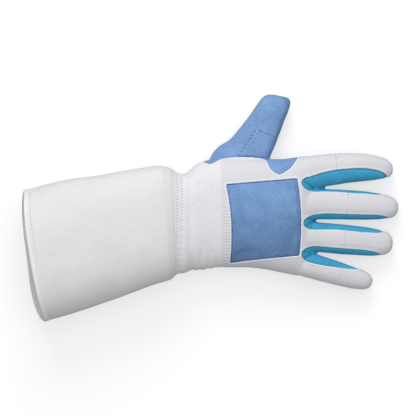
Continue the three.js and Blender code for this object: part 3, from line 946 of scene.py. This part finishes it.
# Creases at the little finger's side of the wrist: depth, where along, width
CREASES = [(0.9, 9.5, 1.6), (0.7, 16.5, 1.8), (0.9, 23.5, 1.7), (0.5, 31.5, 1.6)]


def sleeve_relief(path, v):
    places = round_trunk(path, v, 0.0)
    calm = ramp(path, SLEEVE_START, SLEEVE_START + 5) * (1 - ramp(path, SLEEVE_END - 4, SLEEVE_END))
    low_side, lean = ramp(-places[:, 1], 26, 50), 0.12 * (places[:, 1] + 50)
    creases = sum(-depth * bell(path - lean, at, width) for depth, at, width in CREASES) * low_side
    soft = 0.16 * bell(path, 9.0, 3.0) - 0.2 * bell(path, 30.5, 3.5)
    under = -1.0 * ramp(path, SLEEVE_END - 0.3, HIDDEN_END)
    cloth = 0.22 * waves(places, 26.0, 9.3) + 0.06 * waves(places, 9.0, 2.2)
    return (cloth + creases + soft) * calm - 0.1 * (1 - calm) + under


def sleeve_place(u, v):
    path = HIDDEN_START + (HIDDEN_END - HIDDEN_START) * u
    return round_trunk(path, v, sleeve_relief(path, v))


sleeve = stand(grid_mesh("sleeve", 34, 190, sleeve_place, round_ways=1))
places = read(sleeve.data)
ends = (places[:, 0] < SLEEVE_START + 0.6) | (places[:, 0] > SLEEVE_END - 0.6)
sewn_cloth(sleeve, ends, 0.012, 0.3, 0.1, 0.45)
finish_wall(sleeve, 1.4)
cut(sleeve, thumb_hole)
keep(sleeve, "sleeve_cloth")
print("sleeve:", len(sleeve.data.polygons), "faces")


# %% Patch on the back of the hand
# How much of the patch, as a share, lies hidden under the seam round it
PATCH_TUCK = 0.8 / 36


def patch_plan(u, v):
    """A square grid drawn between the patch's four bowed sides."""
    top, bottom, left, right = patch_side(0, u), patch_side(2, 1 - u), patch_side(3, 1 - v), patch_side(1, v)
    corners = hand_line(PATCH)
    u, v = u[:, None], v[:, None]
    high = (1 - u) * (1 - v) * corners[0] + u * (1 - v) * corners[1]
    low = (1 - u) * v * corners[3] + u * v * corners[2]
    return (1 - v) * top + v * bottom + (1 - u) * left + u * right - high - low


def patch_place(u, v):
    plan = patch_plan(u, v)
    middle = hand_line(PATCH).mean(0)
    plan = middle + (plan - middle) * (1 + PATCH_TUCK)
    at, normal = (np.array(many) for many in zip(*(from_above(form, x, y) for x, y in plan)))
    gap = to_seam(at)
    out = 0.32 * waves(at, 24.0, 3.1) + 0.14 * waves(at, 9.0, 8.7) - 0.6 + 0.6 * ramp(gap, 0.6, 2.4)
    return at + normal * out[:, None]


bpy.context.view_layer.update()
patch = stand(grid_mesh("patch", 96, 96, patch_place))
edge = np.zeros(len(patch.data.vertices), bool)


def face_up(bm):
    """Turns the patch's faces upwards and notes which of its vertices are sewn."""
    bm.normal_update()
    if sum(face.normal.z for face in bm.faces) < 0:
        bmesh.ops.reverse_faces(bm, faces=bm.faces)
    edge[[v.index for v in bm.verts if v.is_boundary]] = True


edit(patch, face_up)
sewn_cloth(patch, edge, 0.012, 0.7, 0.05, 1.0)
finish_wall(patch, 0.9)
keep(patch, "patch_suede")

# %% [markdown]
# ## Lining
# A thin pale knit lies inside the panels. It shows at the mouth, and behind the seams it stops the eye from
# falling into the dark. It could be left out past the wrist, were the seams not fine gaps. In the cuff it
# is a tube wall again; in the hand it is the form itself, coarser, opened at the wrist with a bisect and
# given a thickness.

# %% Lining of the cuff and the hand
LINING_START, LINING_END, LINING_INSET, LINING_VOXEL = -CUFF_LENGTH + 0.9, 8.0, 2.0, 2.6
tube = tube_wall("cuff lining", LINING_START, LINING_END, 50, 130, lambda path, v: 0 * path, 0.55, -1.65)
keep(tube, "cuff_lining")
lining = copy(form, "hand lining")
write(lining.data, base + normals * (slow - LINING_INSET)[:, None])
remesh(lining, LINING_VOXEL, 2)

# Where two fingers part, the side walls are all there is, so the lining is cut away between them
PARTINGS = [((120, 24.4), (139, 21.8)), ((119, -8.2), (134, -7.8)), ((117, -40.2), (132, -38.2))]
HALF_PARTING = 2.6
for (x0, y0), (x1, y1) in PARTINGS:
    low = [(x0, y0 - HALF_PARTING), (x1, y1 - HALF_PARTING)]
    cut_along(lining, low + [(x1, y1 + HALF_PARTING), (x0, y0 + HALF_PARTING)])


def open_wrist(bm):
    everything = bm.verts[:] + bm.edges[:] + bm.faces[:]
    place, way = (LINING_END + 0.3, 0, 0), (-1, 0, 0)
    bmesh.ops.bisect_plane(bm, geom=everything, dist=1e-4, plane_co=place, plane_no=way, clear_outer=True)


edit(lining, open_wrist)
wall = lining.modifiers.new("wall", "SOLIDIFY")
wall.thickness, wall.offset = 0.3, 0
keep(settle(lining), "hand_lining")
print("lining:", len(lining.data.polygons), "faces")

# %% [markdown]
# ## Stitches
# A stitch is a short thick thread that lies in the cloth. A swept curve or a bump in the material could
# show it, but the first is heavy and the second stays flat. One low ball, stretched along the seam and half
# sunk in it, is enough, repeated along each row, with a smaller flat dark one painted at the needle hole for
# the shade in it.


# %% Rows of stitches
def top_of(names, x, y):
    """The highest place of some pieces over a point in plan."""
    found = filter(None, [from_above(pieces[name], x, y) for name in names])
    return max(found, key=lambda hit: hit[0].z, default=None)


def ball(bm, place, along, normal, size, lift):
    """A low ball that lies along a direction on a surface."""
    turn = Matrix((along, normal.cross(along), normal)).transposed().to_4x4()
    at = Matrix.Translation(place + normal * lift) @ turn @ Matrix.Diagonal((*size, 1))
    bmesh.ops.create_uvsphere(bm, u_segments=6, v_segments=5, radius=1, matrix=at)


def stitch(thread, hole_shade, place, along, normal, pitch, long, thick):
    """One stitch, and a flat dark disc after it, painted shade for its needle hole."""
    ball(thread, place, along, normal, (long / 2, thick * 0.6, thick / 2), thick * 0.25)
    # A flat dark disc at the needle hole: painted shade, not a hole
    ball(hole_shade, place + along * (pitch / 2), along, normal, (0.42, 0.4, 0.16), 0.0)


def keep_stitches(name, thread, hole_shade):
    for label, bm in ((name, thread), (name.replace("stitches", "needle_holes"), hole_shade)):
        mesh = bpy.data.meshes.new(label)
        bm.to_mesh(mesh)
        bm.free()
        if len(mesh.polygons):
            keep(stand(mesh), label)
            print(label, len(mesh.polygons), "faces")


def sew(name, rows, on, pitch=3.0, long=2.0, thick=0.6, ending=True):
    """Stitches along rows in plan, laid on the named pieces."""
    thread, hole_shade = bmesh.new(), bmesh.new()
    for row in rows:
        line = spaced(row, pitch)
        for (x, y), way in zip(line, np.gradient(line, axis=0)):
            found = top_of(on, x, y)
            if found is None:
                continue
            place, normal = found
            along = Vector((way[0], way[1], 0))
            along = (along - normal * along.dot(normal)).normalized()
            if ending:
                stitch(thread, hole_shade, place, along, normal, pitch, long, thick)
            else:
                ball(thread, place, along, normal, (long / 2, thick * 0.6, thick / 2), thick * 0.25)
    keep_stitches(name, thread, hole_shade)


def sew_round(name, paths, relief, pitch=3.0, long=2.0, thick=0.6, lift=0.0):
    """Stitches in rows round the trunk."""
    thread, hole_shade = bmesh.new(), bmesh.new()
    v = np.linspace(0, 1, 721)
    for path in np.full((len(paths), len(v)), np.array(paths)[:, None]):
        out = relief(path, v) + lift
        line, outer = round_trunk(path, v, out), round_trunk(path, v, out + 1.0)
        length = np.concatenate(([0], np.cumsum(np.linalg.norm(np.diff(line, axis=0), axis=1))))

        def point(places, along):
            return Vector([np.interp(along, length, places[:, i]) for i in range(3)])

        for at in np.arange(0, length[-1] - pitch / 2, pitch):
            place, above, ahead = point(line, at), point(outer, at), point(line, at + 0.5)
            normal = (above - place).normalized() if (above - place).length > 0.1 else Vector((0, 0, -1))
            along = ahead - place
            along = (along - normal * along.dot(normal)).normalized()
            stitch(thread, hole_shade, place, along, normal, pitch, long, thick)
    keep_stitches(name, thread, hole_shade)


bpy.context.view_layer.update()
sew_round("band_stitches", BAND_ROWS, band_relief, lift=BAND_HIGH)
sew_round("rim_stitches", [-CUFF_LENGTH + 6.0], cuff_relief, pitch=2.6, long=1.7, thick=0.5)
hand_pieces = ["back_cloth", "sleeve_cloth", "patch_suede"]
left_side = patch_side(3, np.linspace(0.72, -0.03, 12))
sew("patch_stitches", [left_side - (offset, 0) for offset in (2.0, 5.2)], hand_pieces)
v_edge = gusset_seam[(gusset_seam[:, 0] > 0.77 * HAND_LENGTH)]
v_rows = [v_edge + (-2.4, 0.9), v_edge + (-4.8, 1.8)]
sew("web_stitches", v_rows, ["thumb_web"], pitch=2.4, long=1.8, thick=0.75)
# A dark line laid just inside the patch's seam is painted shade under the white cloth's raised edge; the row
# along the patch's right side is dark thread
inside_patch = grown(patch_seam, -0.7)
right_line = patch_side(1, np.linspace(0.03, 0.97, 12)) - (3.0, 0)
edge_rows = [np.vstack((inside_patch, inside_patch[:1])), right_line]
sew("patch_edge_thread_and_shade", edge_rows, ["patch_suede"], pitch=1.1, long=1.5, thick=0.45, ending=False)

# The doubled piece's own rows, in plan: two along each sewn side
thumb_rows = [
    [(53.9, 56.5), (69.6, 80.6)], [(58.8, 56.5), (71.0, 78.0)], [(70.6, 79.6), (87.4, 73.0)],
    [(70.0, 76.6), (86.8, 69.8)], [(79.4, 62.4), (80.8, 52.5)],
]
sew("thumb_stitches", thumb_rows, ["thumb_patch_suede", "thumb_back_suede"], pitch=2.6, long=2.0, thick=0.8)

# %% [markdown]
# ## Finishes
# Cloth is matt with a fine grain; suede has a nap, and the patch's colour is painted lighter on the key
# light's side and darker away from it, a painted highlight and shade for the sheen of that nap; stretch knit
# has a soft sheen. Each could be a material of its own, but they share one grain, so that is a shader group
# which each finish uses at its own scale. A second group paints shade into the cloth close to a seam, and a
# highlight along the white cloth's turned edges, from the distance to it that every piece carries as an
# attribute.


# %% Shader helpers
def node(tree, kind, inputs=None, **settings):
    made = tree.nodes.new("ShaderNode" + kind)
    for key, value in settings.items():
        setattr(made, key, value)
    for key, value in (inputs or {}).items():
        if isinstance(value, bpy.types.NodeSocket):
            tree.links.new(value, made.inputs[key])
        else:
            made.inputs[key].default_value = value
    return made


def sum_up(tree, how, *values):
    """A Math node on up to three values."""
    return node(tree, "Math", dict(enumerate(values)), operation=how).outputs[0]


def group(name, inputs, outputs):
    tree = bpy.data.node_groups.new(name, "ShaderNodeTree")
    for label, kind, value in inputs:
        socket = tree.interface.new_socket(label, in_out="INPUT", socket_type="NodeSocket" + kind)
        if value is not None:
            socket.default_value = value
    for label, kind in outputs:
        tree.interface.new_socket(label, in_out="OUTPUT", socket_type="NodeSocket" + kind)
    return tree, tree.nodes.new("NodeGroupInput"), tree.nodes.new("NodeGroupOutput")


def linear(hex_colour):
    parts = [int(hex_colour[i:i + 2], 16) / 255 for i in (0, 2, 4)]
    return [p / 12.92 if p <= 0.04045 else ((p + 0.055) / 1.055) ** 2.4 for p in parts] + [1.0]


# %% Grain group
grain, given, out = group("Cloth grain", [
    ("Vector", "Vector", None), ("Fine", "Float", 1400.0), ("Blotches", "Float", 220.0),
    ("Drift", "Float", 30.0), ("Contrast", "Float", 0.1),
], [("Tone", "Float"), ("Height", "Float")])
specks = []
for scale, detail, rough in (("Fine", 3.0, 0.6), ("Blotches", 4.0, 0.6), ("Drift", 2.0, 0.5)):
    inputs = {"Vector": given.outputs["Vector"], "Scale": given.outputs[scale]}
    speck = node(grain, "TexNoise", {**inputs, "Detail": detail, "Roughness": rough})
    specks.append(speck.outputs["Fac"])
pair = sum_up(grain, "ADD", specks[0], specks[1])
three = sum_up(grain, "ADD", pair, specks[2])
centred = sum_up(grain, "SUBTRACT", three, 1.5)
tone = sum_up(grain, "MULTIPLY_ADD", centred, given.outputs["Contrast"], 1.0)
grain.links.new(tone, out.inputs["Tone"])
grain.links.new(pair, out.inputs["Height"])

# %% Painted seam shade group
painted_seam_shade, given, out = group("Painted seam shade", [
    ("Distance", "Float", 10.0), ("Reach", "Float", 1.2), ("Strength", "Float", 0.3),
], [("Shade", "Float")])
# Paints shade into the cloth near a seam, fading with the distance to it; a negative strength paints a
# highlight
share = sum_up(painted_seam_shade, "DIVIDE", given.outputs["Distance"], given.outputs["Reach"])
square = sum_up(painted_seam_shade, "MULTIPLY", share, share)
fall = sum_up(painted_seam_shade, "POWER", math.e, sum_up(painted_seam_shade, "MULTIPLY", square, -1.0))
dark = sum_up(painted_seam_shade, "MULTIPLY", fall, given.outputs["Strength"])
painted_seam_shade.links.new(sum_up(painted_seam_shade, "SUBTRACT", 1.0, dark), out.inputs["Shade"])
print("shader groups:", [g.name for g in bpy.data.node_groups])


# %% One finish
# reach and shade set the painted seam shade, and a negative shade paints a highlight; the last column paints
# the colour lighter towards +Y, the key light's side, and darker away from it, crossing over at the place set
# below
COLUMNS = "name colour rough contrast fine blotches drift bump reach shade sheen sheen_rough tint nap".split()
PAINTED_LIGHT_MIDDLE = 0.018


def finish(*row):
    """A material from a row of the table below, made of the two groups and one shader."""
    given = dict(zip(COLUMNS, row))
    material = bpy.data.materials.new(given["name"])
    material.use_nodes = True
    tree = material.node_tree
    tree.nodes.clear()
    where = node(tree, "TexCoord")
    surface = node(tree, "Group", node_tree=grain)
    for key in ("fine", "blotches", "drift", "contrast"):
        surface.inputs[key.capitalize()].default_value = given[key]
    tree.links.new(where.outputs["Object"], surface.inputs["Vector"])
    # Shade painted near seams, from the distance to them that each piece carries
    gap = node(tree, "Attribute", attribute_name="seam")
    shade = node(tree, "Group", node_tree=painted_seam_shade)
    shade.inputs["Reach"].default_value = given["reach"]
    shade.inputs["Strength"].default_value = given["shade"]
    tree.links.new(gap.outputs["Fac"], shade.inputs["Distance"])
    tone = sum_up(tree, "MULTIPLY", surface.outputs["Tone"], shade.outputs["Shade"])
    # Painted highlight and shade: lighter towards +Y, the key light's side, darker away from it, for the
    # sheen of the nap
    if given["nap"]:
        across = node(tree, "SeparateXYZ", {"Vector": where.outputs["Object"]})
        start = 1.0 + PAINTED_LIGHT_MIDDLE * given["nap"]
        painted_light_gradient = sum_up(tree, "MULTIPLY_ADD", across.outputs["Y"], given["nap"], start)
        tone = sum_up(tree, "MULTIPLY", tone, painted_light_gradient)
    colour = node(tree, "VectorMath", {0: linear(given["colour"])[:3], "Scale": tone}, operation="SCALE")
    height = surface.outputs["Height"]
    relief = node(tree, "Bump", {"Height": height, "Strength": given["bump"], "Distance": 0.0004})
    shader = node(tree, "BsdfPrincipled", {
        "Base Color": colour.outputs[0], "Normal": relief.outputs[0], "Roughness": given["rough"],
        "Specular IOR Level": 0.3, "Sheen Weight": given["sheen"], "Sheen Roughness": given["sheen_rough"],
        "Sheen Tint": linear(given["tint"]),
    })
    node(tree, "OutputMaterial", {"Surface": shader.outputs[0]})
    return material


# %% Finishes, in the columns named above
no_tint = "ffffff"
CLOTH, SUEDE = (0.72, 0.12, 1300, 300, 26, 0.3), (1000, 520, 60, 0.9, 0.9, 0.25)
THREAD = (0.05, 3000, 900, 60, 0.2, 1.0, 0.0, 0.0, 0.5, no_tint, 0)
HOLE = (0.1, 2000, 900, 60, 0.2, 1.0, 0.0, 0.0, 0.5, no_tint, 0)
cuff_finish = finish("white cuff cloth", "dededf", *CLOTH, 1.0, 0.0, 0.1, 0.5, no_tint, 0)
sleeve_finish = finish("white sleeve cloth", "e1e0e4", *CLOTH, 1.0, 0.0, 0.1, 0.5, no_tint, 0)
# Its negative seam shade paints a highlight along the white cloth's turned edges, where rounded edges catch
# the light
white_finish = finish("white suede cloth", "d6d6db", *CLOTH, 1.2, -0.28, 0.12, 0.5, no_tint, 0)
TRIM = (0.66, 0.08, 1500, 260, 26, 0.2)
trim_finish = finish("white turned edge", "e6e6e9", *TRIM, 0.8, 0.0, 0.1, 0.5, no_tint, 0)
blue_finish = finish("blue suede", "7a9cca", 0.9, 0.55, *SUEDE, 0.25, 0.4, "9db8dd", 0)
palm_finish = finish("blue suede of the palm", "6c8ebd", 0.9, 0.5, *SUEDE, 0.2, 0.4, "9db8dd", 0)
PATCH_NAP, KNIT = (1000, 560, 60, 0.9, 0.9, 0.2), (1300, 400, 70, 0.7, 0.9, 0.5)
# The patch's last value paints it lighter towards the key light's side and darker away from it
patch_finish = finish("blue suede patch", "6b8ebb", 0.9, 0.6, *PATCH_NAP, 0.2, 0.4, "9db8dd", 7.0)
knit_finish = finish("turquoise stretch knit", "3da0c7", 0.8, 0.38, *KNIT, 0.2, 0.5, "7fd0e6", 0)
LINING = (0.9, 0.12, 1200, 300, 40, 0.4)
lining_finish = finish("pale lining", "b3b7c1", *LINING, 1.0, 0.0, 0.0, 0.5, no_tint, 0)
white_thread = finish("white thread", "f4f4f6", 0.6, *THREAD)
blue_thread = finish("light blue thread", "a9c4ea", 0.6, *THREAD)
# Dark blue: thread on the patch's right side, and painted shade in the line round its seam
dark_thread_and_shade = finish("dark blue thread and painted seam shade", "4f70a6", 0.7, *HOLE)
# Flat dark discs at the needle holes: painted shade for the hollow of each hole
white_hole_shade = finish("painted needle hole shade on white", "9a9aa3", 0.9, *HOLE)
blue_hole_shade = finish("painted needle hole shade on blue", "4d6fa8", 0.9, *HOLE)
print("finishes:", len(bpy.data.materials))

# %% [markdown]
# ## Into place
# Every piece now gets its finish and its place on the part, and the solid that it stands for is hidden. One
# loop over two tables does it, so that no piece can be forgotten; the linings and the threads hide no solid.

# %% Dress the pieces
STANDS_FOR = {
    "cuff_cloth": ("cuff", cuff_finish), "rim_binding_turned": ("rim_binding", trim_finish),
    "wrist_band_stitched": ("wrist_band", sleeve_finish), "sleeve_cloth": ("wrist_sleeve", sleeve_finish),
    "back_cloth": ("back_panel", white_finish), "patch_suede": ("back_patch", patch_finish),
    **{name + "_finger_back": (name + "_tip_back", white_finish) for name in FINGERS},
    **{name + "_side_wall": ("fourchette_" + name, knit_finish) for name in WEBS},
    "thumb_web": ("web_gusset", blue_finish), "palm_suede": ("palm", palm_finish),
    "thumb_back_suede": ("thumb_back", blue_finish), "thumb_palm_suede": ("thumb_palm", palm_finish),
    "thumb_patch_suede": ("thumb_patch", blue_finish),
}
EXTRAS = {
    "cuff_lining": ("cuff", lining_finish), "hand_lining": ("back_panel", lining_finish),
    "band_stitches": ("wrist_band", white_thread), "rim_stitches": ("cuff", white_thread),
    "patch_stitches": ("back_panel", white_thread), "web_stitches": ("web_gusset", blue_thread),
    "thumb_stitches": ("thumb_patch", blue_thread), "patch_edge_thread_and_shade": ("back_patch", dark_thread_and_shade),
    "band_needle_holes": ("wrist_band", white_hole_shade), "rim_needle_holes": ("cuff", white_hole_shade),
    "patch_needle_holes": ("back_panel", white_hole_shade), "web_needle_holes": ("web_gusset", blue_hole_shade),
    "thumb_needle_holes": ("thumb_patch", blue_hole_shade),
}
AWAY_FROM_SEAMS = {"cuff_cloth", "rim_binding_turned", "wrist_band_stitched", "thumb_patch_suede"}
HAND_SEAMS = set(STANDS_FOR) - AWAY_FROM_SEAMS
INTO_PLACE = Matrix.Translation(TO_ORIGIN * 0.001) @ Matrix.Scale(0.001, 4)


# The distance that the material turns into painted shade: to the nearest seam, to the thumb's side seam, to
# the side walls' fold lines, or to the doubled piece's rim
def seam_attribute(piece, name):
    places = read(piece.data)
    if name in HAND_SEAMS:
        gap = to_seam(places)
        if name.startswith("thumb"):
            gap = np.minimum(gap, to_side_seam(places) + 0.6)
        # Painted shade along the side walls' fold lines too, as in creases
        if name.endswith("side_wall"):
            gap = np.minimum(gap, plan_distance(places, knit_fold_line) * 1.2 + 0.2)
    elif name == "thumb_patch_suede":
        gap = rim(places)
    else:
        gap = np.full(len(places), 10.0)
    values = piece.data.attributes.new("seam", "FLOAT", "POINT")
    values.data.foreach_set("value", gap.astype(np.float32))


for name, (solid, look) in {**STANDS_FOR, **EXTRAS}.items():
    piece = pieces[name]
    seam_attribute(piece, name)
    piece.data.name = name
    piece.data.materials.clear()
    piece.data.materials.append(look)
    piece.data.polygons.foreach_set("use_smooth", [True] * len(piece.data.polygons))
    piece.data.transform(INTO_PLACE)
    places = read(piece.data)
    places[:, 2] = np.maximum(places[:, 2], 0.0)
    write(piece.data, places)
    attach(piece, "root")
    if name in STANDS_FOR:
        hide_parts(solid)
drop(form, white_shell, suede_shell, knit_shell, hand_room, over, under, thumb_hole, patch_hole, white)
drop(*tip_rooms.values(), *tip_holes.values())
triangles = [sum(len(face.vertices) - 2 for face in piece.data.polygons) for piece in pieces.values()]
print("pieces:", len(pieces), "triangles:", sum(triangles), "most:", max(triangles))

# %% [markdown]
# ## Floor, light and camera
# The glove lies on a plain pale table and is seen from straight above, its fingers to the right. A short
# lens would let the high cuff loom, so the lens is long. One large soft light stands behind the thumb's
# side and a weaker one overhead.


# %% Floor
AIM_HEIGHT, FLOOR_TONE, FLOOR_GLOW, FLOOR_DROP, SKY = 0.03, 0.42, 0.62, 0.0004, 0.42
bm = bmesh.new()
bmesh.ops.create_grid(bm, x_segments=1, y_segments=1, size=3.0)
floor_mesh = bpy.data.meshes.new("floor")
bm.to_mesh(floor_mesh)
bm.free()
floor = stand(floor_mesh)
floor_look = bpy.data.materials.new("white table")
floor_look.use_nodes = True
paper = floor_look.node_tree.nodes["Principled BSDF"]
paper.inputs["Base Color"].default_value = (FLOOR_TONE, FLOOR_TONE, FLOOR_TONE, 1)
paper.inputs["Roughness"].default_value = 0.9
paper.inputs["Emission Color"].default_value = (1, 1, 1, 1)
seen = floor_look.node_tree.nodes.new("ShaderNodeLightPath")
glow = floor_look.node_tree.nodes.new("ShaderNodeMath")
glow.operation = "MULTIPLY"
glow.inputs[1].default_value = FLOOR_GLOW
floor_look.node_tree.links.new(seen.outputs["Is Camera Ray"], glow.inputs[0])
floor_look.node_tree.links.new(glow.outputs[0], paper.inputs["Emission Strength"])
floor.data.materials.append(floor_look)
floor.location = (0, 0, -FLOOR_DROP)


# %% Lights
def soft_light(name, place, size, power):
    light = bpy.data.lights.new(name, "AREA")
    light.shape, light.size, light.energy = "DISK", size, power
    lamp = bpy.data.objects.new(name, light)
    lamp.location = place
    lamp.rotation_euler = (Vector((0, 0, AIM_HEIGHT)) - Vector(place)).to_track_quat("-Z", "Y").to_euler()
    bpy.context.scene.collection.objects.link(lamp)


soft_light("key", (-0.15, 1.3, 1.1), 1.0, 15.0)
soft_light("overhead", (0.1, 0.2, 1.9), 1.6, 11.0)
world = bpy.data.worlds.new("studio")
world.use_nodes = True
world.node_tree.nodes["Background"].inputs["Color"].default_value = (1, 1, 1, 1)
world.node_tree.nodes["Background"].inputs["Strength"].default_value = SKY
bpy.context.scene.world = world
bpy.context.scene.view_settings.view_transform = "Standard"

# %% Camera
FIELD, LENS, SENSOR = 0.3952, 280.0, 36.0
lens = bpy.data.cameras.new("camera")
lens.lens, lens.sensor_width = LENS, SENSOR
camera = bpy.data.objects.new("camera", lens)
camera.location = (-0.001, 0.0006, AIM_HEIGHT + FIELD * LENS / SENSOR)
bpy.context.scene.collection.objects.link(camera)
bpy.context.scene.camera = camera
print("camera", [round(v, 3) for v in camera.location])
